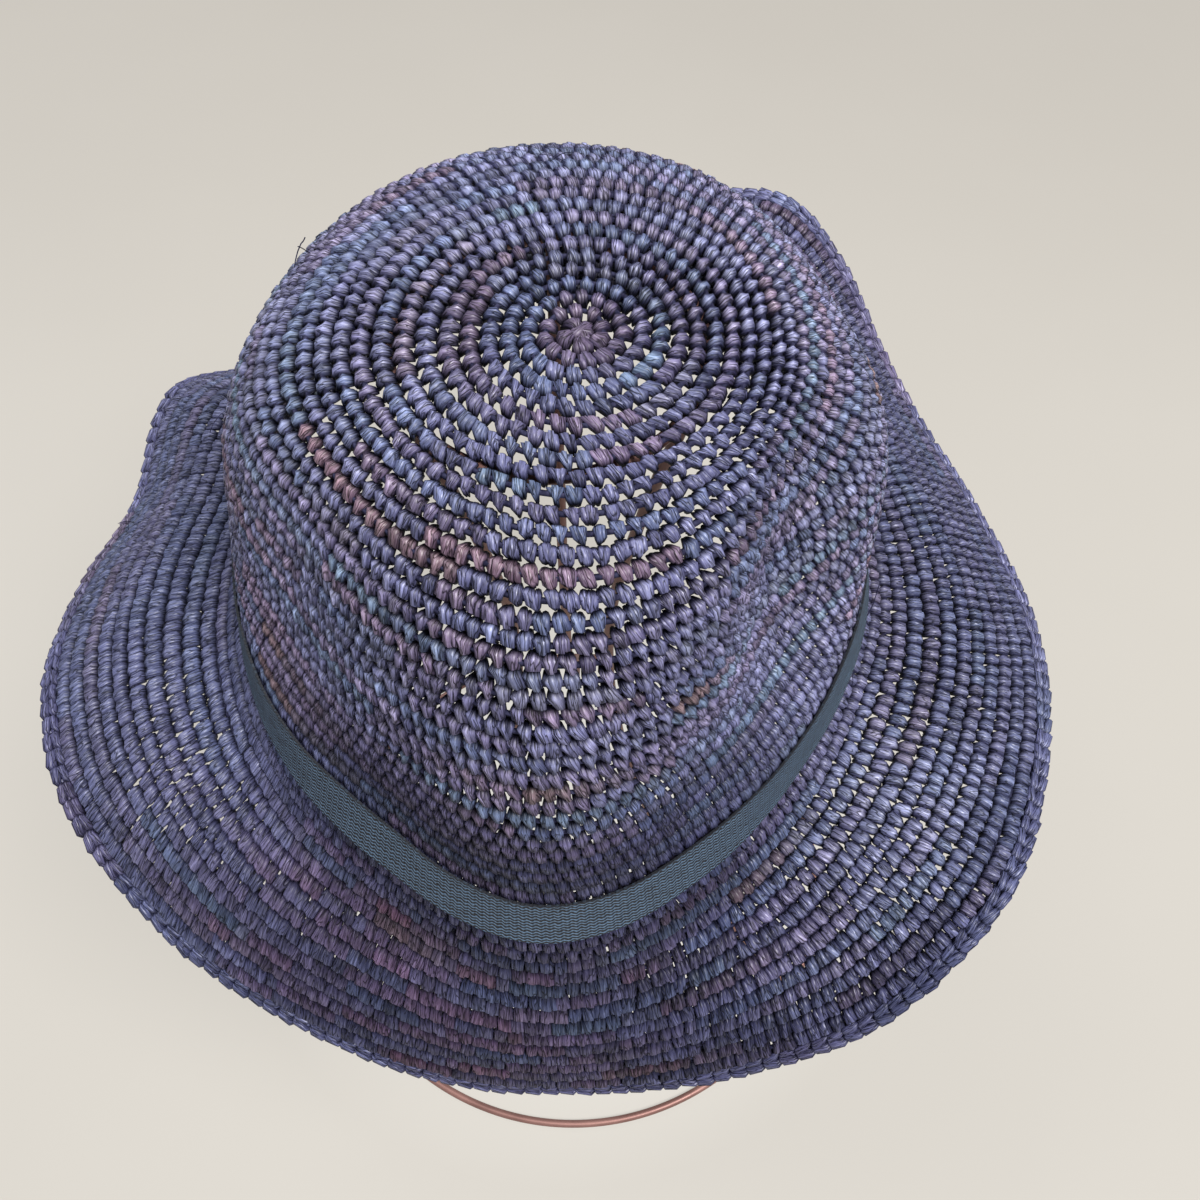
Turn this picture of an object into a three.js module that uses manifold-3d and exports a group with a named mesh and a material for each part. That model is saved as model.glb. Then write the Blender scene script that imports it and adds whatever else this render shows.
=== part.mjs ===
// Crocheted straw hat with a ribbon round the crown, resting on a wire stand.
// Millimetres, +Z up, the floor at z = 0, the wearer's face towards -Y. The origin is
// the middle of the object's box on the floor. Angles are degrees round the crown's
// upright axis, counted from +X towards +Y, and the tables are measured from that axis.
import * as THREE from 'three';
import { mergeVertices } from 'three/addons/utils/BufferGeometryUtils.js';
import Module from 'manifold-3d';

const wasm = await Module();
wasm.setup();

// Where the crown's axis stands, seen from the middle of the object's box
const axisX = 0.06;
const axisY = -19.28;

// Crochet work
const crochetThickness = 3;
const pieceGap = 0.35;
const columnCount = 72;
const brimLastRow = 53;
const edgeRow = 52.6;
const edgeRoundRadius = 2.6;

// Ribbon round the crown, laid over the last rows of the crown
const ribbonTopRow = 35;
const crownLastRow = 38;
const ribbonThickness = 0.8;
const ribbonJoinStart = -9;
const ribbonJoinEnd = 15;
const ribbonJoinColumns = 6;

// Wire stand
const wireRadius = 1.6;
const wireSides = 8;
const standX = 3;
const standY = 0;
const footRingRadius = 115;
const headRingRadius = 36;
const ringColumns = 48;
const legAngles = [90, 210, 330];
const legSteps = 14;

// Crown sections, counted in crochet rows from the tip. Each one has its own centre,
// and a radius and a height for every sectionStep degrees round the axis.
const sectionStep = 30;
const crownSections = [
  {
    row: 0, centreX: 13, centreY: -2,
    radius: [0, 0, 0, 0, 0, 0, 0, 0, 0, 0, 0, 0],
    height: [370, 370, 370, 370, 370, 370, 370, 370, 370, 370, 370, 370],
  },
  {
    row: 6, centreX: 12, centreY: -2,
    radius: [26, 26, 26, 26, 26, 26, 26, 26, 26, 26, 26, 26],
    height: [369, 370, 370, 370, 370, 370, 369, 369, 369, 369, 369, 369],
  },
  {
    row: 12, centreX: 9, centreY: -1,
    radius: [49, 51, 53, 53, 54, 55, 55, 51, 49, 51, 49, 48],
    height: [363, 365, 366, 367, 366, 365, 363, 361, 361, 363, 362, 362],
  },
  {
    row: 17, centreX: 5, centreY: -1,
    radius: [66, 70, 74, 75, 75, 74, 72, 62, 63, 69, 65, 57],
    height: [348, 353, 357, 358, 357, 353, 348, 343, 344, 348, 345, 343],
  },
  {
    row: 22, centreX: 2, centreY: 0,
    radius: [82, 84, 87, 88, 87, 84, 80, 68, 71, 80, 73, 62],
    height: [329, 335, 340, 342, 340, 335, 329, 321, 322, 326, 322, 318],
  },
  {
    row: 29, centreX: 1, centreY: 0,
    radius: [89, 92, 95, 97, 94, 90, 86, 77, 79, 90, 79, 72],
    height: [301, 307, 312, 315, 312, 307, 300, 292, 290, 291, 290, 290],
  },
  {
    row: 35, centreX: 0, centreY: 0,
    radius: [90, 93, 97, 99, 96, 92, 89, 86, 85, 95, 88, 86],
    height: [277, 286, 294, 297, 294, 286, 277, 268, 262, 257, 262, 268],
  },
  {
    row: 38, centreX: 0, centreY: 0,
    radius: [91, 94, 98, 100, 97, 93, 91, 90, 91, 100, 92, 87],
    height: [261, 270, 278, 281, 278, 270, 261, 252, 245, 241, 245, 252],
  },
];

// Brim folds by angle: how far the brim's root stands out from the crown's foot and
// drops below it, how high the brim arches over the straight line from root to edge,
// and where its edge lies.
const brimRootRow = 41;
const brimCrestRow = 47;
const brimFolds = [
  { angle: 3, rootOut: 8, rootDrop: 10, crest: 3, edgeRadius: 156, edgeHeight: 225 },
  { angle: 20, rootOut: 8, rootDrop: 10, crest: 3, edgeRadius: 154, edgeHeight: 225 },
  { angle: 37, rootOut: 8, rootDrop: 9, crest: 3, edgeRadius: 157, edgeHeight: 232 },
  { angle: 45, rootOut: 9, rootDrop: 8, crest: 3, edgeRadius: 161, edgeHeight: 243 },
  { angle: 52, rootOut: 9, rootDrop: 7, crest: 3, edgeRadius: 165, edgeHeight: 260 },
  { angle: 60, rootOut: 9, rootDrop: 7, crest: 3, edgeRadius: 166, edgeHeight: 277 },
  { angle: 72, rootOut: 9, rootDrop: 7, crest: 3, edgeRadius: 166, edgeHeight: 271 },
  { angle: 90, rootOut: 9, rootDrop: 7, crest: 4, edgeRadius: 168, edgeHeight: 257 },
  { angle: 112, rootOut: 9, rootDrop: 7, crest: 4, edgeRadius: 166, edgeHeight: 246 },
  { angle: 135, rootOut: 9, rootDrop: 8, crest: 4, edgeRadius: 157, edgeHeight: 233 },
  { angle: 147, rootOut: 9, rootDrop: 9, crest: 5, edgeRadius: 161, edgeHeight: 246 },
  { angle: 160, rootOut: 8, rootDrop: 10, crest: 5, edgeRadius: 155, edgeHeight: 229 },
  { angle: 175, rootOut: 8, rootDrop: 10, crest: 6, edgeRadius: 156, edgeHeight: 233 },
  { angle: 190, rootOut: 8, rootDrop: 10, crest: 6, edgeRadius: 156, edgeHeight: 241 },
  { angle: 203, rootOut: 8, rootDrop: 11, crest: 6, edgeRadius: 154, edgeHeight: 235 },
  { angle: 217, rootOut: 7, rootDrop: 12, crest: 5, edgeRadius: 147, edgeHeight: 209 },
  { angle: 235, rootOut: 6, rootDrop: 13, crest: 4, edgeRadius: 136, edgeHeight: 188 },
  { angle: 255, rootOut: 5, rootDrop: 14, crest: 3, edgeRadius: 130, edgeHeight: 175 },
  { angle: 277, rootOut: 5, rootDrop: 14, crest: 3, edgeRadius: 129, edgeHeight: 172 },
  { angle: 295, rootOut: 6, rootDrop: 13, crest: 3, edgeRadius: 138, edgeHeight: 187 },
  { angle: 310, rootOut: 7, rootDrop: 12, crest: 3, edgeRadius: 150, edgeHeight: 213 },
  { angle: 322, rootOut: 8, rootDrop: 11, crest: 3, edgeRadius: 154, edgeHeight: 235 },
  { angle: 342, rootOut: 8, rootDrop: 10, crest: 3, edgeRadius: 155, edgeHeight: 230 },
];

// One leg of the stand, from the foot ring in to the middle and out to the head ring.
// The height is a share of the head ring's height.
const legPath = [
  { radius: 115, share: 0 },
  { radius: 104, share: 0.035 },
  { radius: 70, share: 0.15 },
  { radius: 36, share: 0.33 },
  { radius: 20, share: 0.52 },
  { radius: 17, share: 0.7 },
  { radius: 26, share: 0.87 },
  { radius: 36, share: 1 },
];

const colours = {
  straw: { color: 0x3f4058, roughness: 0.75, metalness: 0 },
  ribbon: { color: 0x3c4e55, roughness: 0.85, metalness: 0 },
  copper: { color: 0xa86a52, roughness: 0.35, metalness: 0.9 },
};

// Curve through four neighbouring knots, read between the middle two
function blend(knots, values, at) {
  const width = knots[2] - knots[1];
  const part = (at - knots[1]) / width;
  const rise = (a, b) => (values[b] - values[a]) / (knots[b] - knots[a]);
  const slope = (a, b, c) =>
    (rise(a, b) * (knots[c] - knots[b]) + rise(b, c) * (knots[b] - knots[a])) /
    (knots[c] - knots[a]);
  const square = part * part;
  const cube = square * part;
  return (
    (2 * cube - 3 * square + 1) * values[1] +
    (cube - 2 * square + part) * width * slope(0, 1, 2) +
    (3 * square - 2 * cube) * values[2] +
    (cube - square) * width * slope(1, 2, 3)
  );
}

// Value round the axis from knots that close on themselves
function around(angles, values, angle) {
  const turn = 360;
  const count = angles.length;
  const at = ((angle % turn) + turn) % turn;
  let before = -1;
  while (before + 1 < count && angles[before + 1] <= at) before += 1;
  const knots = [];
  const heights = [];
  for (let step = -1; step <= 2; step += 1) {
    const index = before + step;
    const lap = Math.floor(index / count);
    knots.push(angles[index - lap * count] + lap * turn);
    heights.push(values[index - lap * count]);
  }
  return blend(knots, heights, at);
}

// Value along the crochet rows; beyond the ends the curve runs on with its last slope
function along(rows, values, row) {
  const count = rows.length;
  const last = count - 1;
  let before = 0;
  while (before < last - 1 && rows[before + 1] <= row) before += 1;
  const knots = [];
  const heights = [];
  for (let step = -1; step <= 2; step += 1) {
    const index = before + step;
    if (index < 0) {
      knots.push(2 * rows[0] - rows[1]);
      heights.push(2 * values[0] - values[1]);
    } else if (index > last) {
      knots.push(2 * rows[last] - rows[last - 1]);
      heights.push(2 * values[last] - values[last - 1]);
    } else {
      knots.push(rows[index]);
      heights.push(values[index]);
    }
  }
  return blend(knots, heights, row);
}

const sectionAngles = crownSections[0].radius.map((value, index) => index * sectionStep);
const foldAngles = brimFolds.map((fold) => fold.angle);
const knotRows = crownSections
  .map((section) => section.row)
  .concat([brimRootRow, brimCrestRow, brimLastRow]);

// All knots of the hat in one upright cut at this angle
function cutAt(angle) {
  const fold = {};
  for (const name of ['rootOut', 'rootDrop', 'crest', 'edgeRadius', 'edgeHeight']) {
    fold[name] = around(foldAngles, brimFolds.map((row) => row[name]), angle);
  }
  const radii = crownSections.map((row) => around(sectionAngles, row.radius, angle));
  const heights = crownSections.map((row) => around(sectionAngles, row.height, angle));
  const rootRadius = radii[radii.length - 1] + fold.rootOut;
  const rootHeight = heights[heights.length - 1] - fold.rootDrop;
  const outward = fold.edgeRadius - rootRadius;
  const upward = fold.edgeHeight - rootHeight;
  const chord = Math.hypot(outward, upward);
  radii.push(rootRadius);
  heights.push(rootHeight);
  radii.push((rootRadius + fold.edgeRadius) / 2 - (upward / chord) * fold.crest);
  heights.push((rootHeight + fold.edgeHeight) / 2 + (outward / chord) * fold.crest);
  radii.push(fold.edgeRadius);
  heights.push(fold.edgeHeight);
  const turn = THREE.MathUtils.degToRad(angle);
  const centres = (name, index) => (index < crownSections.length ? crownSections[index][name] : 0);
  return {
    x: radii.map((radius, index) => centres('centreX', index) + radius * Math.cos(turn)),
    y: radii.map((radius, index) => centres('centreY', index) + radius * Math.sin(turn)),
    z: heights,
  };
}

function hatPoint(row, angle) {
  const cut = cutAt(angle);
  return new THREE.Vector3(
    along(knotRows, cut.x, row),
    along(knotRows, cut.y, row),
    along(knotRows, cut.z, row),
  );
}

// Direction straight out of the crochet at this place
function hatNormal(row, angle) {
  const reach = 0.5;
  const from = Math.max(row - reach, reach);
  const down = hatPoint(row + reach, angle).sub(hatPoint(from, angle));
  const width = 2;
  const wide = Math.max(row, 1);
  const side = hatPoint(wide, angle + width).sub(hatPoint(wide, angle - width));
  return down.cross(side).normalize();
}

// Point that stands off from the middle of the crochet by a distance
function offsetPoint(row, angle, distance) {
  return hatPoint(row, angle).addScaledVector(hatNormal(row, angle), distance);
}

function meshOf(positions, triangles) {
  const geometry = new THREE.BufferGeometry();
  geometry.setAttribute('position', new THREE.Float32BufferAttribute(positions, 3));
  geometry.setIndex(triangles);
  geometry.computeVertexNormals();
  return geometry;
}

// Closed skin through a loop of section points that is carried round the axis
function ringSolid(sectionAt, sectionCount) {
  const positions = [];
  const triangles = [];
  for (let column = 0; column < columnCount; column += 1) {
    for (const point of sectionAt((column * 360) / columnCount)) positions.push(...point.toArray());
  }
  for (let column = 0; column < columnCount; column += 1) {
    const next = (column + 1) % columnCount;
    for (let index = 0; index < sectionCount; index += 1) {
      const after = (index + 1) % sectionCount;
      const a = column * sectionCount + index;
      const b = next * sectionCount + index;
      const c = next * sectionCount + after;
      const d = column * sectionCount + after;
      triangles.push(a, c, b, a, d, c);
    }
  }
  return meshOf(positions, triangles);
}

// Rows from the first to the last in even steps
function evenRows(first, last, steps) {
  return Array.from({ length: steps + 1 }, (value, index) => first + ((last - first) * index) / steps);
}

// Band of crochet or ribbon between two rows, from one offset to the other
function bandSolid(rows, low, high) {
  const back = [...rows].reverse();
  return ringSolid(
    (angle) => [
      ...rows.map((row) => offsetPoint(row, angle, high)),
      ...back.map((row) => offsetPoint(row, angle, low)),
    ],
    rows.length * 2,
  );
}

// The crown closes over its tip, so its skin runs from one pole to the other
function crownSolid(rows) {
  const half = crochetThickness / 2;
  const back = [...rows].reverse();
  const ring = rows.length * 2;
  const positions = [];
  const triangles = [];
  for (let column = 0; column < columnCount; column += 1) {
    const angle = (column * 360) / columnCount;
    for (const row of rows) positions.push(...offsetPoint(row, angle, half).toArray());
    for (const row of back) positions.push(...offsetPoint(row, angle, -half).toArray());
  }
  const tip = hatPoint(0, 0);
  const topPole = positions.length / 3;
  const lowPole = topPole + 1;
  positions.push(tip.x, tip.y, tip.z + half);
  positions.push(tip.x, tip.y, tip.z - half);
  for (let column = 0; column < columnCount; column += 1) {
    const next = (column + 1) % columnCount;
    for (let index = 0; index < ring - 1; index += 1) {
      const a = column * ring + index;
      const b = next * ring + index;
      triangles.push(a, b + 1, b, a, a + 1, b + 1);
    }
    triangles.push(topPole, column * ring, next * ring);
    triangles.push(lowPole, next * ring + ring - 1, column * ring + ring - 1);
  }
  return meshOf(positions, triangles);
}

// Thick last round of the brim
function edgeRoundSolid() {
  const sides = 8;
  return ringSolid((angle) => {
    const middle = hatPoint(edgeRow, angle);
    const out = hatNormal(edgeRow, angle);
    const down = hatPoint(edgeRow + 0.3, angle).sub(hatPoint(edgeRow - 0.3, angle)).normalize();
    return Array.from({ length: sides }, (value, index) => {
      const turn = (2 * Math.PI * (index + 0.5)) / sides;
      return middle
        .clone()
        .addScaledVector(out, edgeRoundRadius * Math.cos(turn))
        .addScaledVector(down, edgeRoundRadius * Math.sin(turn));
    });
  }, sides);
}

// Overlap where the ribbon's two ends are sewn together
function ribbonJoinSolid() {
  const low = crochetThickness / 2 + ribbonThickness + 2 * pieceGap;
  const high = low + ribbonThickness;
  const positions = [];
  const triangles = [];
  for (let column = 0; column <= ribbonJoinColumns; column += 1) {
    const share = column / ribbonJoinColumns;
    const angle = ribbonJoinStart + (ribbonJoinEnd - ribbonJoinStart) * share;
    const corners = [
      [ribbonTopRow, high],
      [crownLastRow, high],
      [crownLastRow, low],
      [ribbonTopRow, low],
    ];
    for (const [row, distance] of corners) {
      positions.push(...offsetPoint(row, angle, distance).toArray());
    }
  }
  const corners = 4;
  for (let column = 0; column < ribbonJoinColumns; column += 1) {
    for (let index = 0; index < corners; index += 1) {
      const after = (index + 1) % corners;
      const a = column * corners + index;
      const b = a + corners;
      const c = (column + 1) * corners + after;
      const d = column * corners + after;
      triangles.push(a, c, b, a, d, c);
    }
  }
  const end = ribbonJoinColumns * corners;
  triangles.push(0, 2, 1, 0, 3, 2);
  triangles.push(end, end + 1, end + 2, end, end + 2, end + 3);
  return meshOf(positions, triangles);
}

function wireSection() {
  const corner = wireRadius / Math.cos(Math.PI / wireSides);
  return Array.from({ length: wireSides }, (value, index) => {
    const turn = (2 * Math.PI * (index + 0.5)) / wireSides;
    return new THREE.Vector2(corner * Math.cos(turn), corner * Math.sin(turn));
  });
}

// Wire ring that lies level at this height
function wireRing(radius, height) {
  const profile = wireSection().map((point) => new THREE.Vector2(radius + point.x, point.y));
  profile.push(profile[0].clone());
  const ring = new THREE.LatheGeometry(profile, ringColumns);
  ring.rotateX(Math.PI / 2);
  ring.translate(standX, standY, height);
  return ring;
}

function wireLeg(angle, footHeight, headHeight) {
  const turn = THREE.MathUtils.degToRad(angle);
  const points = legPath.map(
    (knot) =>
      new THREE.Vector3(
        standX + knot.radius * Math.cos(turn),
        standY + knot.radius * Math.sin(turn),
        footHeight + (headHeight - footHeight) * knot.share,
      ),
  );
  return new THREE.ExtrudeGeometry(new THREE.Shape(wireSection()), {
    steps: legSteps,
    extrudePath: new THREE.CatmullRomCurve3(points, false, 'centripetal'),
  });
}

// Lowest height of the crown's inside over the head ring
function crownUndersideHeight() {
  let lowest = Infinity;
  for (let angle = 0; angle < 360; angle += sectionStep / 3) {
    for (let row = 1; row < crownSections[2].row; row += 0.5) {
      const point = offsetPoint(row, angle, -crochetThickness / 2);
      const radius = Math.hypot(point.x - standX, point.y - standY);
      if (Math.abs(radius - headRingRadius) < 2 * wireRadius) lowest = Math.min(lowest, point.z);
    }
  }
  return lowest;
}

function solidOf(geometry) {
  const plain = geometry.clone();
  plain.deleteAttribute('normal');
  plain.deleteAttribute('uv');
  const merged = mergeVertices(plain, 1e-4);
  return new wasm.Manifold(
    new wasm.Mesh({
      numProp: 3,
      vertProperties: new Float32Array(merged.attributes.position.array),
      triVerts: new Uint32Array(merged.index.array),
    }),
  );
}

function geometryOf(solid) {
  const mesh = solid.getMesh();
  return meshOf(Array.from(mesh.vertProperties), Array.from(mesh.triVerts));
}

function standSolid() {
  const headHeight = crownUndersideHeight() - pieceGap - wireRadius;
  let stand = solidOf(wireRing(footRingRadius, wireRadius));
  stand = stand.add(solidOf(wireRing(headRingRadius, headHeight)));
  for (const angle of legAngles) {
    stand = stand.add(solidOf(wireLeg(angle, wireRadius, headHeight)));
  }
  return geometryOf(stand);
}

function piece(name, geometry, finish) {
  const mesh = new THREE.Mesh(geometry, new THREE.MeshStandardMaterial(finish));
  mesh.name = name;
  return mesh;
}

const half = crochetThickness / 2;
const rowHeight = 5;
const gapRows = pieceGap / rowHeight;
const crownSteps = 14;
const brimSteps = 8;
const brimEndRow = edgeRow - (edgeRoundRadius + pieceGap) / rowHeight;
const ribbonLow = half + pieceGap;

const hat = new THREE.Group();
hat.name = 'straw_hat_on_wire_stand';
hat.position.set(axisX, axisY, 0);
hat.add(piece('crown', crownSolid(evenRows(2, crownLastRow, crownSteps)), colours.straw));
hat.add(piece(
  'brim',
  bandSolid(evenRows(crownLastRow + gapRows, brimEndRow, brimSteps), -half, half),
  colours.straw,
));
hat.add(piece('edge_round', edgeRoundSolid(), colours.straw));
hat.add(piece(
  'ribbon',
  bandSolid([ribbonTopRow, crownLastRow], ribbonLow, ribbonLow + ribbonThickness),
  colours.ribbon,
));
hat.add(piece('ribbon_join', ribbonJoinSolid(), colours.ribbon));
hat.add(piece('wire_stand', standSolid(), colours.copper));

export default hat;
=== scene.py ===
import math

import bpy
import numpy as np
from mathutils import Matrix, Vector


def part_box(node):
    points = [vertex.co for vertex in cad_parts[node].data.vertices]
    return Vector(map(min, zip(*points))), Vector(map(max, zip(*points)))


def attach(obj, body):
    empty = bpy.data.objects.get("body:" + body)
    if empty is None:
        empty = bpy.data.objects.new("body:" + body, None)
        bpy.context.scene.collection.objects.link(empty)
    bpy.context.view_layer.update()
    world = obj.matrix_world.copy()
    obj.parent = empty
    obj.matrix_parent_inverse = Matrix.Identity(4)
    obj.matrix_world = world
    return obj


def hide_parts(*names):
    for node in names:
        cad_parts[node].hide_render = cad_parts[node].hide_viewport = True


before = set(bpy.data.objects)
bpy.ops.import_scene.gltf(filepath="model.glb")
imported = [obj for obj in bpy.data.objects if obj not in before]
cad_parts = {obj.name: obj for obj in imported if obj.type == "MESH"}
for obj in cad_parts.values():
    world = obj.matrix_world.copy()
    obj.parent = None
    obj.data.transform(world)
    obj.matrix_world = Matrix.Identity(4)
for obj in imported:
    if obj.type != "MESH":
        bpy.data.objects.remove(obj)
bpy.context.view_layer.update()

# A crocheted straw hat on a wire stand. Tables are in millimetres, measured from the
# crown's upright axis at the floor, and every piece is made in metres. Rows are counted
# from the tip of the crown. Angles are in degrees: 0 right, 90 back, 180 left, 270 front.
MM = 0.001
AXIS_X, AXIS_Y = 0.06, -19.28

# Crochet: a spiral of stitches that ends in a seam at the back
STITCH_PITCH = 3.95
STITCH_THICK = 1.75
ROUNDS = 52
ROW_FIT = 0.9935
ROW_HEIGHT = 4.5
FIRST_STITCH = 20.0
SEAM_ANGLE = 100.0
SEAM_STEP = 0.94
BRIM_ROW = 38.2
EDGE_ROW = 52.6
LAST_ROW = 53.0
LEAF_LENGTH = 5.3

# Straw inside the work, with its depth below the middle of the crochet, and the openness
# below which rows count as packed and get ties
CORE_RADIUS, CORE_DEPTH, CORE_FROM = 0.75, -0.5, 200.0
TIE_RADIUS, TIE_DEPTH = 0.62, -1.3
PACKED = 0.08

# Ribbon
RIBBON_TOP, RIBBON_FOOT = 35.0, 38.0
RIBBON_WIDTH, RIBBON_THICK = 16.0, 0.6
RIBBON_START, RIBBON_LAP = 12.0, 22.0
RIB_PITCH, PICK_PITCH, CORD_PITCH = 2.2, 1.2, 1.0

# Stand
WIRE_RADIUS = 1.6
STAND_X, STAND_Y = 3.0, 0.0
FOOT_RING = 115.0
HEAD_RING = 36.0
LEG_ANGLES = (90, 210, 330)
LEG_PATH = (
    # radius, share of the height
    (115, 0), (104, 0.035), (70, 0.15), (36, 0.33), (20, 0.52), (17, 0.7), (26, 0.87), (36, 1),
)

# Colours as red, green, blue and cover
# Painted highlight on the raffia's light fibres
FIBRE_HIGHLIGHT = (0.30, 0.31, 0.42, 1)
SHEEN_TINT = (0.9, 0.93, 1.0, 1)
# Painted shade: the near-black colours of the straw inside the work
INNER_DARK, INNER_LIGHT = (0.008, 0.008, 0.022, 1), (0.026, 0.026, 0.055, 1)
# The ribbon's weave, from painted shade in its grooves to painted highlight on its ribs
WEAVE_DARK, WEAVE_LIGHT = (0.001, 0.002, 0.006, 1), (0.062, 0.107, 0.168, 1)
COPPER_DARK, COPPER_LIGHT = (0.20, 0.102, 0.087, 1), (0.27, 0.143, 0.123, 1)
FLOOR_DARK, FLOOR_LIGHT = (0.090, 0.083, 0.071, 1), (0.100, 0.093, 0.081, 1)
# Painted light: the floor's glow, near, far and under the hat
GLOW_NEAR, GLOW_FAR = (1.0, 0.95, 0.87, 1), (0.80, 0.75, 0.68, 1)
GLOW_MIDDLE = (1.3, 1.26, 1.17, 1)
SKY = (0.88, 0.94, 1.0, 1)

# Lamps in metres and watts, and the point that they are aimed at
LAMPS = (
    # name, place, size, watts, colour
    ("ceiling", (0.85, -0.8, 2.2), 1.0, 102.0, (1.0, 0.99, 0.98)),
    ("window", (-1.1, 0.7, 2.1), 1.6, 40.0, (0.97, 0.98, 1.0)),
)
LAMP_AIM = (0, 0, 0.25)
SKY_STRENGTH = 0.27

# Camera
EYE = (14.7, -189, 566)
EYE_BELOW_LEVEL = 59
SENSOR, LENS = 36, 36.09

# Crown sections counted in rows from the tip, with the section's own centre and a
# radius and a height for every 30 degrees round the axis
CROWN = (
    dict(row=0, x=10, y=-2,
         radius=(0, 0, 0, 0, 0, 0, 0, 0, 0, 0, 0, 0),
         height=(370, 370, 370, 370, 370, 370, 370, 370, 370, 370, 370, 370)),
    dict(row=6, x=10, y=-2,
         radius=(26, 26, 26, 26, 26, 26, 26, 26, 26, 26, 26, 26),
         height=(369, 370, 370, 370, 370, 370, 369, 369, 369, 369, 369, 369)),
    dict(row=12, x=9, y=-1,
         radius=(49, 51, 53, 53, 54, 55, 55, 51, 49, 51, 49, 48),
         height=(363, 365, 366, 367, 366, 365, 363, 361, 361, 363, 362, 362)),
    dict(row=17, x=5, y=-1,
         radius=(66, 70, 74, 75, 75, 74, 72, 62, 63, 69, 65, 57),
         height=(348, 353, 357, 358, 357, 353, 348, 343, 344, 348, 345, 343)),
    dict(row=22, x=2, y=0,
         radius=(82, 84, 87, 88, 87, 84, 80, 68, 71, 80, 73, 62),
         height=(329, 335, 340, 342, 340, 335, 329, 321, 322, 326, 322, 318)),
    dict(row=29, x=1, y=0,
         radius=(89, 92, 95, 97, 94, 90, 86, 77, 79, 90, 79, 72),
         height=(301, 307, 312, 315, 312, 307, 300, 292, 290, 291, 290, 290)),
    dict(row=35, x=0, y=0,
         radius=(90, 93, 97, 99, 96, 92, 89, 86, 85, 95, 88, 86),
         height=(277, 286, 294, 297, 294, 286, 277, 268, 262, 257, 262, 268)),
    dict(row=38, x=0, y=0,
         radius=(91, 94, 98, 100, 97, 93, 91, 90, 91, 100, 92, 87),
         height=(261, 270, 278, 281, 278, 270, 261, 252, 245, 241, 245, 252)),
)

# Brim folds by angle: how far the root stands out from the crown's foot and drops
# below it, how high the brim arches, and where its edge lies
BRIM_ROOT, BRIM_CREST = 41.0, 47.0
BRIM = (
    # angle, root_out, root_drop, crest, edge_radius, edge_height
    (3, 8, 10, 3, 156, 225),
    (20, 8, 10, 3, 154, 225),
    (37, 8, 9, 3, 157, 232),
    (45, 9, 8, 3, 161, 243),
    (52, 9, 7, 3, 165, 260),
    (60, 9, 7, 3, 166, 277),
    (72, 9, 7, 3, 166, 271),
    (90, 9, 7, 4, 168, 257),
    (112, 9, 7, 4, 166, 246),
    (135, 9, 8, 4, 157, 233),
    (147, 9, 9, 5, 161, 246),
    (160, 8, 10, 5, 155, 229),
    (175, 8, 10, 6, 156, 233),
    (190, 8, 10, 6, 156, 241),
    (203, 8, 11, 6, 154, 235),
    (217, 7, 12, 5, 147, 209),
    (235, 6, 13, 4, 136, 188),
    (255, 5, 14, 3, 130, 175),
    (277, 5, 14, 3, 129, 172),
    (295, 6, 13, 3, 138, 187),
    (310, 7, 12, 3, 150, 213),
    (322, 8, 11, 3, 154, 235),
    (342, 8, 10, 3, 155, 230),
)

# Raffia strands, as shares of the work and colours seen in soft light
STRANDS = (
    # share, red, green, blue
    (0.44, 0.106, 0.106, 0.190),
    (0.18, 0.088, 0.104, 0.184),
    (0.16, 0.120, 0.104, 0.180),
    (0.08, 0.090, 0.118, 0.182),
    (0.09, 0.130, 0.096, 0.152),
    (0.03, 0.136, 0.084, 0.112),
    (0.02, 0.130, 0.086, 0.098),
)

# Where the stitches stand apart: half the width of the open part of the crown by row,
# and the patches of the brim, with the rows over which each comes and goes
OPEN_CROWN = (
    # row, half
    (0, 200), (4, 190), (8, 140), (12, 110), (16, 86), (20, 40), (30, 34), (33, 26),
)
OPEN_BRIM = (
    # most, middle, half, soft, comes, full, fades, gone
    (0.22, 190, 34, 20, 41, 43, 49, 51.5),
    (0.42, 352, 34, 20, 40, 42, 49, 51.5),
    (0.45, 290, 60, 30, 38, 38.6, 40, 41),
)

# Stitched pieces, each with its rows and the node that it stands for
STITCHED = (
    # name, low, high, node
    ("crown_top_stitches", 0, 17, "crown"),
    ("crown_upper_wall_stitches", 17, 25, "crown"),
    ("crown_lower_wall_stitches", 25, 33, "crown"),
    ("crown_foot_stitches", 33, BRIM_ROW, "crown"),
    ("brim_inner_stitches", BRIM_ROW, 43.5, "brim"),
    ("brim_middle_stitches", 43.5, 48.5, "brim"),
    ("brim_outer_stitches", 48.5, LAST_ROW, "brim"),
)

# Front, right, left and back of the hat for the shape of its stitches
SIDES_SOFT = 36
SIDES = (
    # middle, half
    (272, 62), (0, 75), (180, 50), (90, 60),
)

# Leaves of the last round: an outer and an inner layer, and one below them
LEAVES = (
    # name, outward, lift, half_length, half_width, half_thick, pinch, slant
    ("edge_round_outer", 1.2, 0.3, 0.62, 1.6, 1.5, 0.55, 0.14),
    ("edge_round_inner", -1.4, 0.3, 0.60, 1.3, 1.4, 0.45, -0.16),
    ("edge_round_under", 0.6, -1.0, 0.62, 1.6, 1.3, 0.3, 0.1),
)

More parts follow.
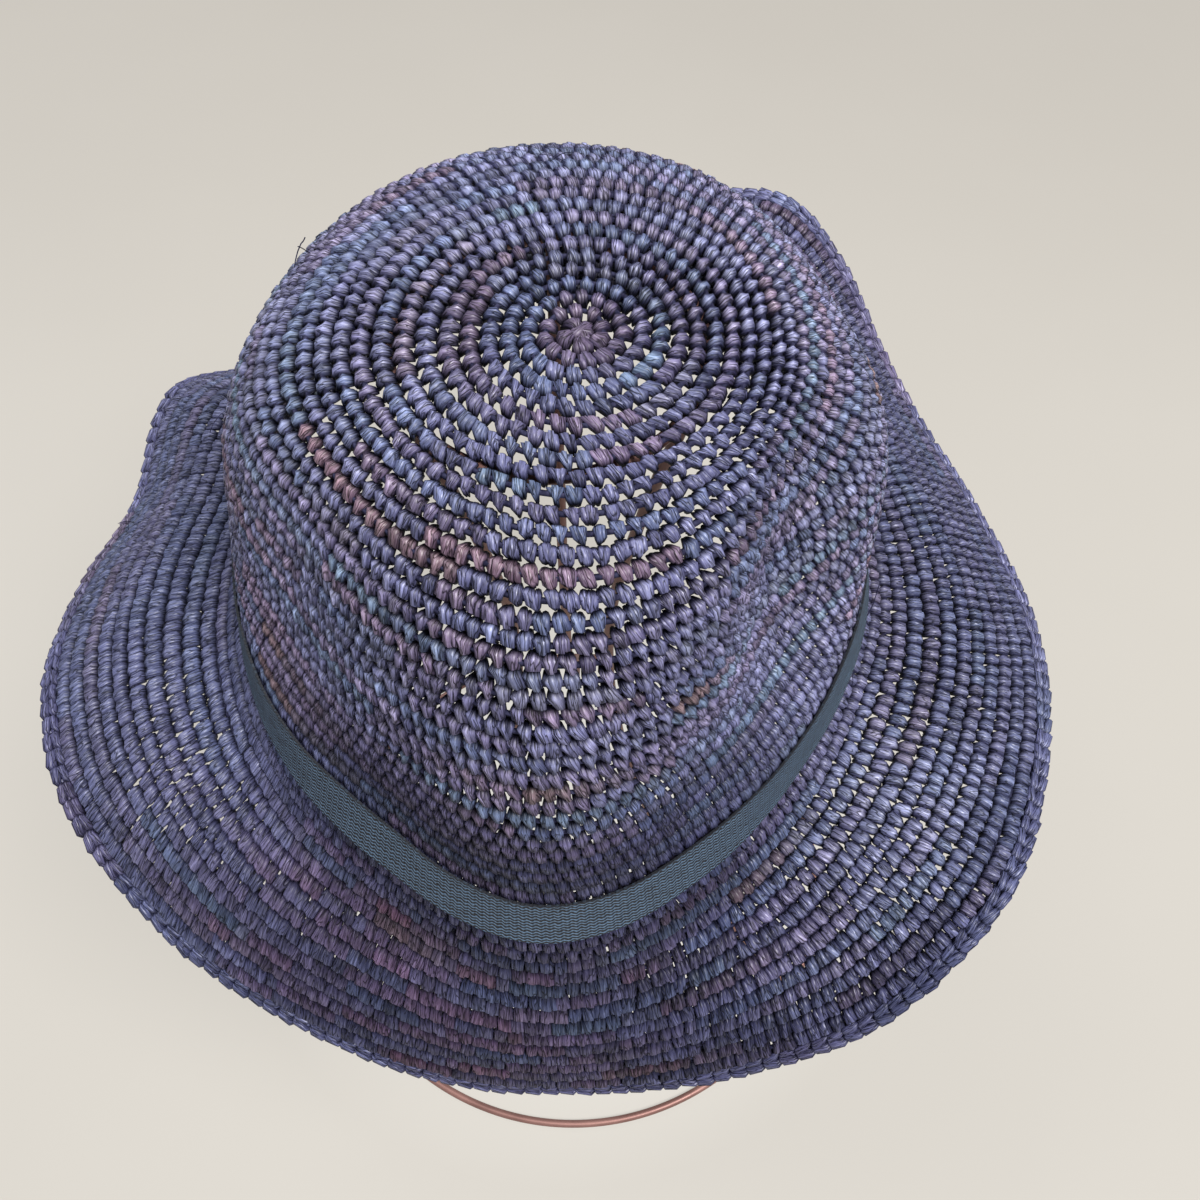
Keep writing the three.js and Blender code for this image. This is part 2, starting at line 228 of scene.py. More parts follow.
# Loose fibre ends
STRAY_FINE, STRAY_COARSE = 0.1, 0.17
STRAY_ENDS = (
    # row, angle, length, turned along the row
    (13.2, 92, 9.8, 0.9),
    (13.5, 95, 7.0, -0.6),
    (16.6, 148, 11.2, 0.5),
    (17.3, 151, 7.0, -0.8),
    (21.4, 171, 11.2, 0.4),
    (22.1, 174, 8.4, 1.1),
    (50.6, 166, 12.6, -0.5),
    (51.2, 164, 9.8, 0.7),
    (52.3, 243, 7.0, 0.8),
    (52.4, 247, 5.6, -0.6),
    (18.3, 40, 5.6, 0.7),
    (52.2, 300, 5.6, 0.9),
    (38.6, 350, 12.6, 1.2),
    (38.9, 346, 9.8, -1.0),
)


def blend(knots, values, at):
    """Smooth curve through four neighbouring knots, read between the middle two."""
    width = knots[2] - knots[1]
    part = (at - knots[1]) / width

    def rise(a, b):
        return (values[b] - values[a]) / (knots[b] - knots[a])

    def slope(a, b, c):
        before, after = knots[b] - knots[a], knots[c] - knots[b]
        return (rise(a, b) * after + rise(b, c) * before) / (knots[c] - knots[a])

    square, cube = part * part, part * part * part
    return (
        (2 * cube - 3 * square + 1) * values[1]
        + (cube - 2 * square + part) * width * slope(0, 1, 2)
        + (3 * square - 2 * cube) * values[2]
        + (cube - square) * width * slope(1, 2, 3)
    )


def around(angles, values, at):
    """Values round the axis, from knots that close on themselves."""
    angles = np.asarray(angles, float)
    values = np.asarray(values, float)
    count = len(angles)
    before = np.searchsorted(angles, at, side="right") - 1
    index = [before + step for step in (-1, 0, 1, 2)]
    knots = [angles[i % count] + 360.0 * np.floor_divide(i, count) for i in index]
    return blend(knots, [values[i % count] for i in index], at)


def along(rows, values, at):
    """Values along the rows, one column for each angle; ends run on straight."""
    rows = np.asarray(rows, float)
    rows = np.concatenate([[2 * rows[0] - rows[1]], rows, [2 * rows[-1] - rows[-2]]])
    values = np.vstack([2 * values[0] - values[1], values, 2 * values[-1] - values[-2]])
    before = np.clip(np.searchsorted(rows, at, side="right") - 1, 1, len(rows) - 3)
    knots = [rows[before + step][:, None] for step in (-1, 0, 1, 2)]
    parts = [values[before + step] for step in (-1, 0, 1, 2)]
    return blend(knots, parts, at[:, None])


class Skin:
    """The middle of the crochet as a fine grid over rows and angles."""

    def __init__(self, row_step=0.25, angle_step=1.0):
        self.row_step, self.angle_step = row_step, angle_step
        angles = np.arange(0, 360, angle_step)
        turn = np.radians(angles)
        section_angles = np.arange(12) * 30.0
        radii = [around(section_angles, s["radius"], angles) for s in CROWN]
        heights = [around(section_angles, s["height"], angles) for s in CROWN]
        fold_angles, *folds = np.array(BRIM, float).T
        out, drop, crest, edge_r, edge_h = (around(fold_angles, fold, angles) for fold in folds)
        root_r, root_h = radii[-1] + out, heights[-1] - drop
        chord = np.hypot(edge_r - root_r, edge_h - root_h)
        crest_r = (root_r + edge_r) / 2 - (edge_h - root_h) / chord * crest
        crest_h = (root_h + edge_h) / 2 + (edge_r - root_r) / chord * crest
        radii += [root_r, crest_r, edge_r]
        heights += [root_h, crest_h, edge_h]
        centre_x = np.array([s["x"] for s in CROWN] + [0, 0, 0], float)[:, None]
        centre_y = np.array([s["y"] for s in CROWN] + [0, 0, 0], float)[:, None]
        rows = [s["row"] for s in CROWN] + [BRIM_ROOT, BRIM_CREST, LAST_ROW]
        self.rows = np.arange(0, LAST_ROW + 1.01, row_step)
        x = along(rows, centre_x + np.array(radii) * np.cos(turn), self.rows)
        y = along(rows, centre_y + np.array(radii) * np.sin(turn), self.rows)
        z = along(rows, np.array(heights), self.rows)
        self.points = np.stack([x + AXIS_X, y + AXIS_Y, z], -1)
        down = np.gradient(self.points, row_step, axis=0)
        side = (np.roll(self.points, -1, 1) - np.roll(self.points, 1, 1)) / (2 * angle_step)
        normals = np.cross(down, side)
        normals[0] = (0, 0, 1)
        self.normals = normals / np.linalg.norm(normals, axis=-1, keepdims=True)
        self.row_height = np.linalg.norm(down, axis=-1)
        self.arc = np.linalg.norm(side, axis=-1)

    def read(self, grid, row, angle):
        """Value of a grid at these rows and angles."""
        i = np.clip(np.asarray(row, float) / self.row_step, 0, len(self.rows) - 1.001)
        j = np.mod(np.asarray(angle, float), 360.0) / self.angle_step
        i0, j0 = np.floor(i).astype(int), np.floor(j).astype(int)
        fi, fj = i - i0, j - j0
        count = grid.shape[1]
        j0 = j0 % count
        j1 = (j0 + 1) % count
        if grid.ndim == 3:
            fi, fj = fi[..., None], fj[..., None]
        low = grid[i0, j0] * (1 - fj) + grid[i0, j1] * fj
        high = grid[i0 + 1, j0] * (1 - fj) + grid[i0 + 1, j1] * fj
        return low * (1 - fi) + high * fi

    def place(self, row, angle, offset):
        """Points that stand off from the middle of the crochet."""
        normals = self.read(self.normals, row, angle)
        return self.read(self.points, row, angle) + normals * offset[..., None]

    def arc_at(self, row, angle):
        """Length of one degree along a row at one place."""
        return float(self.read(self.arc, row, angle))


SKIN = Skin()


# Materials

class Value:
    """A shader socket that takes part in sums."""

    def __init__(self, shader, socket):
        self.shader, self.socket = shader, socket

    def _sum(self, kind, other):
        return self.shader.value("ShaderNodeMath", {"operation": kind}, self, other)

    def __add__(self, other):
        return self._sum("ADD", other)

    def __sub__(self, other):
        return self._sum("SUBTRACT", other)

    def __mul__(self, other):
        return self._sum("MULTIPLY", other)


class Finish:
    """A material built from one node at a time."""

    def __init__(self, name):
        self.material = bpy.data.materials.new(name)
        self.material.use_nodes = True
        self.tree = self.material.node_tree
        self.surface = self.tree.nodes["Principled BSDF"]

    def feed(self, socket, value):
        """Links a socket to another one, or sets it."""
        if isinstance(value, Value):
            value = value.socket
        if isinstance(value, bpy.types.NodeSocket):
            self.tree.links.new(value, socket)
        else:
            socket.default_value = value

    def node(self, kind, settings=None, *values, out=0, **named):
        """Adds a node, feeds its sockets by order and by name, and gives one output."""
        made = self.tree.nodes.new(kind)
        for key, setting in (settings or {}).items():
            setattr(made, key, setting)
        for index, value in enumerate(values):
            self.feed(made.inputs[index], value)
        for key, value in named.items():
            self.feed(made.inputs[key.replace("_", " ")], value)
        return made.outputs[out]

    def value(self, *args, **named):
        """As node, for an output that takes part in sums."""
        return Value(self, self.node(*args, **named))

    def mix(self, share, first, second, blend_type="MIX"):
        """Colour between two others."""
        made = self.tree.nodes.new("ShaderNodeMix")
        made.data_type = "RGBA"
        made.blend_type = blend_type
        self.feed(made.inputs[0], share)
        self.feed(made.inputs[6], first)
        self.feed(made.inputs[7], second)
        return made.outputs[2]

    def noise(self, vector, scale, detail, rough=0.5):
        """Cloudy values from 0 to 1."""
        return self.value(
            "ShaderNodeTexNoise", {}, Vector=vector, Scale=scale, Detail=detail, Roughness=rough
        )

    def wave(self, value, length):
        """Sine wave of this length."""
        return self.value("ShaderNodeMath", {"operation": "SINE"}, value * (2 * math.pi / length))

    def spread(self, value, low, high, to_low=0.0, to_high=1.0):
        """Value moved from one range to another and held inside it."""
        return self.value("ShaderNodeMapRange", {}, value, low, high, to_low, to_high)

    def vector(self, x, y, z):
        """Three values as one vector."""
        return self.node("ShaderNodeCombineXYZ", {}, x, y, z)

    def split(self, vector):
        """The three values of a vector."""
        made = self.tree.nodes.new("ShaderNodeSeparateXYZ")
        self.feed(made.inputs[0], vector)
        return [Value(self, made.outputs[i]) for i in range(3)]

    def bump(self, height, strength, distance):
        """Surface raised by a height that only the light sees."""
        return self.node("ShaderNodeBump", {}, Strength=strength, Distance=distance, Height=height)

    def wear(self, **sockets):
        """Feeds the surface and gives the finished material."""
        for key, value in sockets.items():
            self.feed(self.surface.inputs[key.replace("_", " ")], value)
        return self.material


def raffia():
    """Dyed raffia: the strand's colour with its painted shade, fibres and folds that run along each
    stitch, painted shade in the creases of the folds and a painted highlight on the light fibres.
    """
    f = Finish("raffia")
    strand = f.node("ShaderNodeAttribute", {"attribute_name": "strand"})
    across, lengthwise, _ = f.split(f.node("ShaderNodeUVMap", {"uv_map": "fibres"}))
    fibre = f.noise(f.vector(across * 2.4, lengthwise * 0.28, 0.0), 1.0, 3.0, 0.65)
    folded = f.noise(f.vector(across * 0.75, lengthwise * 0.16, 3.7), 1.0, 1.0)
    from_fold = f.value("ShaderNodeMath", {"operation": "ABSOLUTE"}, folded - 0.5)
    crease = f.spread(from_fold, 0.0, 0.045)
    # The fibres differ in tone, and the creases of the folds are painted dark as shade
    tone = f.spread(fibre, 0.32, 0.68, 0.4, 1.55) * f.spread(crease, 0.0, 1.0, 0.2, 1.0)
    grey = f.node("ShaderNodeCombineColor", {}, tone, tone, tone)
    colour = f.mix(1.0, strand, grey, "MULTIPLY")
    # Painted highlight: the light fibres away from the creases are mixed towards a pale blue-grey
    highlighted = f.mix(f.spread(fibre, 0.6, 0.82, 0.0, 0.3) * crease, colour, FIBRE_HIGHLIGHT)
    relief = fibre * 0.35 + folded * 1.4 + crease * 0.5
    sheen = f.value("ShaderNodeAttribute", {"attribute_name": "sheen"}, out=2)
    return f.wear(
        Base_Color=highlighted,
        Roughness=0.6,
        Specular_IOR_Level=0.12,
        Coat_Weight=sheen * crease * f.spread(fibre, 0.35, 0.6, 0.25, 1.0),
        Coat_Roughness=0.38,
        Coat_IOR=1.5,
        Coat_Tint=SHEEN_TINT,
        Normal=f.bump(relief, 0.9, 0.0005),
    )


def shaded_inner_straw():
    """The same straw, coloured near black as painted shade where it lies in the dark between the
    stitches.
    """
    f = Finish("shaded_inner_straw")
    fibre = f.noise(f.node("ShaderNodeTexCoord", {}, out=3), 900.0, 2.0)
    colour = f.mix(f.spread(fibre, 0.35, 0.65), INNER_DARK, INNER_LIGHT)
    return f.wear(Base_Color=colour, Roughness=0.8, Specular_IOR_Level=0.1)


def grosgrain():
    """Ribbed ribbon: fine ribs across its width, tied down in wavy lines, its colour painted dark in
    the grooves as shade and light on the ribs as highlight, with cloudy streaks, and painted darker
    along the top edge as shade next to the crown.
    """
    f = Finish("grosgrain")
    along_band, over, _ = f.split(f.node("ShaderNodeUVMap", {"uv_map": "weave"}))
    wobble = f.noise(f.vector(along_band * 0.25, over * 0.4, 0.0), 1.0, 2.0)
    rib = f.wave(along_band, RIB_PITCH)
    pick = f.wave(over + rib * 0.26 + wobble * 1.2, PICK_PITCH)
    cord = f.wave(along_band, CORD_PITCH)
    relief = pick * 0.7 + cord * 0.2
    # Painted shade along the top edge next to the crown, and painted shade and highlight that follow
    # the relief
    top_edge = f.spread(over, 15.0, 15.9, 1.0, 0.15)
    lit = f.spread(relief + wobble * 1.4, 0.55, 1.05) * top_edge
    colour = f.mix(lit, WEAVE_DARK, WEAVE_LIGHT)
    return f.wear(Base_Color=colour, Roughness=0.75, Normal=f.bump(relief, 0.8, 0.0003))


def copper():
    """Drawn wire in satin copper, a little cloudy."""
    f = Finish("copper_wire")
    place = f.node("ShaderNodeTexCoord", {}, out=3)
    cloud = f.noise(place, 60.0, 3.0)
    fine = f.noise(place, 900.0, 2.0)
    colour = f.mix(f.spread(cloud, 0.35, 0.65), COPPER_DARK, COPPER_LIGHT)
    return f.wear(
        Base_Color=colour,
        Metallic=0.5,
        Roughness=f.spread(cloud + fine * 0.4, 0.5, 0.9, 0.46, 0.6),
        Normal=f.bump(fine, 0.15, 0.0001),
    )


def floor_paint():
    """Pale paint with a painted glow that lights it though it is no lamp: less at the far side, and
    more right under the hat, where it lifts the hat's shadow.
    """
    f = Finish("pale_floor")
    place = f.node("ShaderNodeTexCoord", {}, out=3)
    cloud = f.noise(place, 3.0, 4.0)
    colour = f.mix(f.spread(cloud, 0.35, 0.65), FLOOR_DARK, FLOOR_LIGHT)
    away = f.spread(f.split(place)[1], 0.1, 0.8)
    from_middle = f.value("ShaderNodeVectorMath", {"operation": "LENGTH"}, place, out=1)
    # Painted light under the hat, where its shadow falls
    under_hat = f.spread(from_middle, 0.07, 0.16, 1.0, 0.0)
    glow = f.mix(under_hat, f.mix(away, GLOW_NEAR, GLOW_FAR), GLOW_MIDDLE)
    return f.wear(Base_Color=colour, Roughness=0.7, Emission_Color=glow, Emission_Strength=0.5)


# Making

def bare():
    """Leaves edit mode and drops the selection."""
    if bpy.context.object and bpy.context.object.mode != "OBJECT":
        bpy.ops.object.mode_set(mode="OBJECT")
    bpy.ops.object.select_all(action="DESELECT")


def select_only(objects):
    """Selects these objects and makes the first one active."""
    bare()
    for obj in objects:
        obj.select_set(True)
    bpy.context.view_layer.objects.active = objects[0]


def select_where(obj, test):
    """Selects the vertices of an edited object that pass a test on their place."""
    bpy.ops.object.mode_set(mode="OBJECT")
    for vertex in obj.data.vertices:
        vertex.select = bool(test(vertex.co))
    for part in (*obj.data.edges, *obj.data.polygons):
        part.select = False
    bpy.ops.object.mode_set(mode="EDIT")
    bpy.ops.mesh.select_mode(type="VERT")


def strand_form(rings, sides):
    """One strand of straw lying along Y, two units long, flat on top, with narrowed ends."""
    bare()
    bpy.ops.mesh.primitive_cylinder_add(
        vertices=sides, radius=1, depth=2, end_fill_type="TRIFAN", rotation=(-math.pi / 2, 0, 0)
    )
    form = bpy.context.object
    bpy.ops.object.transform_apply(location=True, rotation=True, scale=True)
    bpy.ops.object.mode_set(mode="EDIT")
    for place, _ in rings[1:-1]:
        bpy.ops.mesh.select_all(action="SELECT")
        bpy.ops.mesh.bisect(plane_co=(0, place, 0), plane_no=(0, 1, 0))
    for place, girth in rings:
        select_where(form, lambda co: abs(co.y - place) < 0.02 and math.hypot(co.x, co.z) > 0.5)
        bpy.ops.transform.resize(value=(girth, 1, girth), center_override=(0, place, 0))
    # The middle of each end is drawn out into a blunt point
    select_where(form, lambda co: math.hypot(co.x, co.z) < 0.01)
    bpy.ops.transform.resize(value=(1, 1.1, 1), center_override=(0, 0, 0))
    bpy.ops.object.mode_set(mode="OBJECT")
    points = np.array([vertex.co[:] for vertex in form.data.vertices])
    faces = [tuple(polygon.vertices) for polygon in form.data.polygons]
    bpy.data.objects.remove(form)
    return points, faces


def joined(name, points, faces, material):
    """Copies of one form, [copy, vertex, xyz] in millimetres, as one mesh."""
    copies, count = points.shape[:2]
    mesh = bpy.data.meshes.new(name)
    loops = np.concatenate([np.array(face) for face in faces])
    sizes = np.array([len(face) for face in faces])
    shift = np.arange(copies)[:, None] * count
    all_loops = (loops[None] + shift).ravel()
    starts = np.concatenate([[0], np.cumsum(np.tile(sizes, copies))[:-1]])
    mesh.vertices.add(copies * count)
    mesh.vertices.foreach_set("co", (points * MM).astype(np.float32).ravel())
    mesh.loops.add(len(all_loops))
    mesh.loops.foreach_set("vertex_index", all_loops.astype(np.int32))
    mesh.polygons.add(len(starts))
    mesh.polygons.foreach_set("loop_start", starts.astype(np.int32))
    mesh.update(calc_edges=True)
    mesh.validate()
    mesh.polygons.foreach_set("use_smooth", np.ones(len(mesh.polygons), bool))
    mesh.materials.append(material)
    obj = bpy.data.objects.new(name, mesh)
    bpy.context.scene.collection.objects.link(obj)
    return obj, all_loops


def paint(obj, loops, fibres, strand, gloss):
    """Gives a joined mesh its fibre map, its strand colours with their painted shade and highlights,
    and its sheen, all by vertex.
    """
    layer = obj.data.uv_layers.new(name="fibres")
    layer.data.foreach_set("uv", fibres.reshape(-1, 2)[loops].astype(np.float32).ravel())
    shaded_colour = obj.data.color_attributes.new("strand", "FLOAT_COLOR", "POINT")
    rgba = np.concatenate([strand, np.ones((*strand.shape[:-1], 1))], -1)
    shaded_colour.data.foreach_set("color", rgba.astype(np.float32).ravel())
    sheen = obj.data.attributes.new("sheen", "FLOAT", "POINT")
    sheen.data.foreach_set("value", gloss.astype(np.float32).ravel())


def tube(name, points, radius, material, closed=False, roundness=0):
    """Round strand or wire along a path, made a mesh."""
    curve = bpy.data.curves.new(name, "CURVE")
    curve.dimensions = "3D"
    curve.bevel_depth = radius * MM
    curve.bevel_resolution = roundness
    curve.use_fill_caps = True
    spline = curve.splines.new("POLY")
    spline.points.add(len(points) - 1)
    path = np.column_stack([np.array(points) * MM, np.ones(len(points))])
    spline.points.foreach_set("co", path.ravel())
    spline.use_cyclic_u = closed
    obj = bpy.data.objects.new(name, curve)
    bpy.context.scene.collection.objects.link(obj)
    select_only([obj])
    bpy.ops.object.convert(target="MESH")
    bpy.ops.object.shade_smooth()
    obj.data.materials.append(material)
    return obj


# Patches of the hat

def step_between(value, low, high):
    """0 below the low value and 1 above the high one, with a soft step between."""
    part = np.clip((value - low) / (high - low), 0, 1)
    return part * part * (3 - 2 * part)


def window(angle, middle, half, soft):
    """1 within half a width of the middle angle and 0 outside, with soft sides."""
    away = np.abs((angle - middle + 180) % 360 - 180)
    return 1 - step_between(away, half - soft / 2, half + soft / 2)


def band(row, comes, full, fades, gone):
    """1 between two rows and 0 outside, with soft sides."""
    return step_between(row, comes, full) * (1 - step_between(row, fades, gone))


def openness(row, angle):
    """How far the stitches stand apart, from 0 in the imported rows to 1 on the stretched top."""
    half = np.interp(row, *zip(*OPEN_CROWN))
    crown = window(angle, 262, half, 24) * band(row, 0.6, 1.6, 29, 32.5)
    crown = crown * (0.78 + 0.22 * step_between(row, 6, 10))
    brim = [
        most * window(angle, middle, half, soft) * band(row, *rows)
        for most, middle, half, soft, *rows in OPEN_BRIM
    ]
    return np.maximum.reduce([crown, *brim])


def strand_colours(rng, count):
    """A colour for each stitch: long strands, each with a slow drift of its own."""
    table = np.array(STRANDS)
    shares = table[:, 0] / table[:, 0].sum()
    out = np.empty((count, 3))
    start = 0
    while start < count:
        length = int(rng.integers(5, 22))
        kind = rng.choice(len(table), p=shares)
        other = rng.choice(len(table), p=shares)
        run = min(length, count - start)
        share = np.clip(np.linspace(-0.6, 1.6, run) + rng.normal(0, 0.25, run), 0, 1)[:, None]
        first = table[kind, 1:] * rng.uniform(0.85, 1.15)
        second = (table[kind, 1:] * 0.5 + table[other, 1:] * 0.5) * rng.uniform(0.85, 1.15)
        out[start:start + run] = first * (1 - share) + second * share
        start += run
    return out * rng.normal(1, 0.14, (count, 1)).clip(0.6, 1.5)


def dye_and_painted_light(colours, rows, angles):
    """Painted light and shade over the hat, and how the dye differs. Painted shade, bluer
    where deeper, darkens the front brim and the low front wall, and a little the rest of
    the brim, most on the left; painted light brightens the brim's front right corner, its
    root at the right, the crown's left and back right sides and its right front wall. The
    dye is bluer and more even on the brim's sides, with a few redder spots in front."""
    on_brim = step_between(rows, 37.5, 41)
    on_crown = 1 - on_brim
    front = window(angles, 264, 50, 50)
    low_wall = step_between(rows, 27, 32) * on_crown
    left_brim = window(angles, 205, 45, 40)
    right_corner = window(angles, 318, 20, 30) * band(rows, 40, 43, 48.5, 51)
    right_root = on_brim * window(angles, 342, 22, 30) * (1 - step_between(rows, 43, 47))
    crown_side = on_crown * step_between(rows, 5, 9)
    left_back, right_back = window(angles, 170, 50, 60), window(angles, 55, 60, 40)
    right_wall = window(angles, 330, 26, 30) * step_between(rows, 14, 18) * on_crown
    # Painted light and shade, region by region
    light = 1 - 0.72 * on_brim * front - 0.66 * low_wall * front
    for change in (
        -on_brim * (1 - front) * (0.06 + 0.14 * left_brim),
        0.9 * right_corner,
        0.2 * right_root,
        crown_side * (0.36 * left_back + 0.34 * right_back),
        0.28 * right_wall,
    ):
        light = light * (1 + change)

    red_spots = np.sin(rows * 2.3 + np.floor(angles / 8) * 1.9) > 0.15
    red = (red_spots * on_brim * window(angles, 252, 30, 30))[:, None]
    colours = colours * (1 - red + red * (1.45, 1.02, 0.98))
    side = np.maximum(window(angles, 190, 50, 40), window(angles, 350, 50, 40))
    even = 0.6 * (on_brim * side * (1 - front))[:, None]
    strands = np.array(STRANDS)
    even_blue = strands[:, 1:].T @ strands[:, 0] * (0.94, 1.06, 1.06)
    return light[:, None] ** (1.06, 1.06, 0.86) * (colours * (1 - even) + even_blue * even)


# Crochet

def row_at(travelled):
    """Row of the spiral after so many degrees."""
    return (travelled / 360.0 + 0.5) * ROW_FIT


def edge_rise(travelled):
    """The last round climbs one row on its way round, then steps down at the seam."""
    part = (travelled % 360.0) / 360.0
    return part - 0.5 - step_between(part, SEAM_STEP, 1.0)


def worked(row, travelled):
    """Whether a stitch here still has its place inside the last round."""
    at_seam = (travelled % 360.0) / 360.0 > SEAM_STEP
    return row < EDGE_ROW + edge_rise(travelled) - np.where(at_seam, 0.35, 0.7)


def spiral():
    """Places of the stitches along the spiral: rows from the tip, and angles."""
    rows, angles = [], []
    travelled = FIRST_STITCH
    while travelled < 360.0 * ROUNDS - 6:
        row, angle = row_at(travelled), SEAM_ANGLE + travelled
        if worked(row, travelled):
            rows.append(row)
            angles.append(angle % 360.0)
        travelled += STITCH_PITCH / max(SKIN.arc_at(row, angle), 0.03)
    return np.array(rows), np.array(angles)


rng = np.random.default_rng(7)

# One strand: how far along it lies, and its girth there
FORM, FORM_FACES = strand_form(((-1.0, 0.72), (-0.62, 1.0), (0.58, 1.0), (1.0, 0.62)), 5)
FAN = 3


def fan(half_length, half_width, thick, pinch, lean, dome, parting, lap, painted_end_shade, seam=1.0, groove=0.0):
    """Bundles of three strands side by side, one bundle for each entry of these columns:
    how much its outer end is drawn in, how it leans along the row, how round it is, how
    clearly its strands part, how far its outer end laps over the next row, how much painted
    shade darkens it towards that end (a painted highlight lightens it there when negative),
    how dark the painted shade in the line to the next bundle is, and how early its
    ends go down into the groove between the rows.
    Gives how far every point lies sideways, lengthwise and up, how light its painted shade
    and highlights make it, and its place on the fibre map."""
    count = len(half_length)
    half_length, half_width, thick, pinch, lean, dome, parting, lap, painted_end_shade, seam, groove = (
        np.broadcast_to(column, count).reshape(-1, 1, 1)
        for column in (
            half_length, half_width, thick, pinch, lean, dome, parting, lap, painted_end_shade, seam, groove
        )
    )

    def strand(low, high):
        return rng.uniform(low, high, (count, FAN, 1))

    def bundle(low, high):
        return rng.uniform(low, high, (count, 1, 1))

    fx, fy, fz = (FORM[None, None, :, i] for i in range(3))
    spot = np.linspace(-1, 1, FAN)[None, :, None]
    outer_end, inner_end = step_between(fy, -0.05, 1.0), step_between(-fy, 0.3, 1.0)

    # Lengthwise: the strands end unevenly, and the body of each may stop short of the groove
    closing = bundle(0.2, 1.4) * outer_end + bundle(0.0, 0.6) * inner_end
    closing = np.maximum(1 - pinch * closing, 0.1)
    reach = np.where(np.abs(fy) < 0.9, fy * (1 - groove), fy)
    lengthwise = reach * half_length * (1.04 - 0.08 * np.abs(spot))
    lengthwise = lengthwise + strand(-0.4, 0.4) * (0.25 + parting)
    lengthwise = lengthwise + bundle(-0.22, 0.22)

    # Sideways: each strand is rolled a little, drawn in with the bundle and bent
    x = fx * half_width * 0.54 * strand(0.85, 1.2)
    z = fz * thick * strand(0.85, 1.0)
    roll = 0.6 * dome * spot + strand(-0.35, 0.35) * parting
    x, z = x * np.cos(roll) + z * np.sin(roll), z * np.cos(roll) - x * np.sin(roll)
    sideways = (
        x * (0.5 + 0.5 * closing)
        + (spot + strand(-0.12, 0.12)) * half_width * 0.55 * closing
        + (lean + (bundle(-0.2, 0.2) + strand(-0.2, 0.2)) * (0.2 + parting)) * lengthwise
        + strand(-0.4, 0.4) * parting * (1 - fy * fy)
        + bundle(-0.3, 0.3) * (0.4 + parting)
    )

    # Up: the middle strand stands highest, and the ends go down into the work
    uneven = (strand(-0.3, 0.3) + bundle(-0.25, 0.25)) * (0.1 + parting)
    up = z + dome * (0.5 - 1.1 * np.abs(spot)) + uneven
    up = up + lap * fy * thick - (1.05 - 0.4 * lap) * thick * np.abs(fy) ** 2.5

    # Painted shade and highlights: dark in the creases between strands, in the line to the next
    # bundle and at the tucked ends, bright on the ridges, and darker or lighter towards the outer
    # end;
    # each strand and bundle also differs a little in tone at random
    outer_side = np.clip(fx * spot, 0, 1) * seam
    crease = np.clip(0.9 - 0.55 * parting - 1.1 * outer_side, 0.03, 1)
    ridge = step_between(np.abs(fz), 0.3, 0.8)
    tuck = np.where(fy > 0, 1 - 2 * lap, 1) * 0.97 * step_between(np.abs(fy), 0.45, 0.95)
    shade = crease * (1 - ridge) + 1.3 * ridge * (1 - (0.6 + 0.4 * parting) * outer_side)
    shade = shade * (1 + strand(-0.35, 0.35) * (0.15 + parting))
    shade = np.maximum(shade * (1 - tuck) * bundle(0.85, 1.15) * (1 - painted_end_shade * fy), 0.01)

    round_strand = np.arctan2(fx, fz) * 1.1 + strand(0, 400)
    along_strand = lengthwise + strand(0, 400)
    return sideways, lengthwise, up, shade, np.stack([round_strand, along_strand], -1)


def bundles(name, place, shade, fibres, colours, material, node):
    """Placed bundles as one piece of straw, whose vertex colours carry the painted shade and
    highlights of each strand.
    """
    obj, loops = joined(name, place.reshape(-1, len(FORM), 3), FORM_FACES, material)
    # Painted shade and highlights go into the colours, bluer where darker; the coat's sheen is
    # weighted by the same painted shade
    shaded_colour = colours[:, None, None, :] * shade[..., None] ** np.array([1.08, 1.08, 0.85])
    paint(obj, loops, fibres, shaded_colour, step_between(shade, 0.3, 1.2))
    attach(obj, "root")
    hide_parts(node)


def column(values):
    """One value for each bundle, ready to meet its strands and their points."""
    return values[:, None, None]


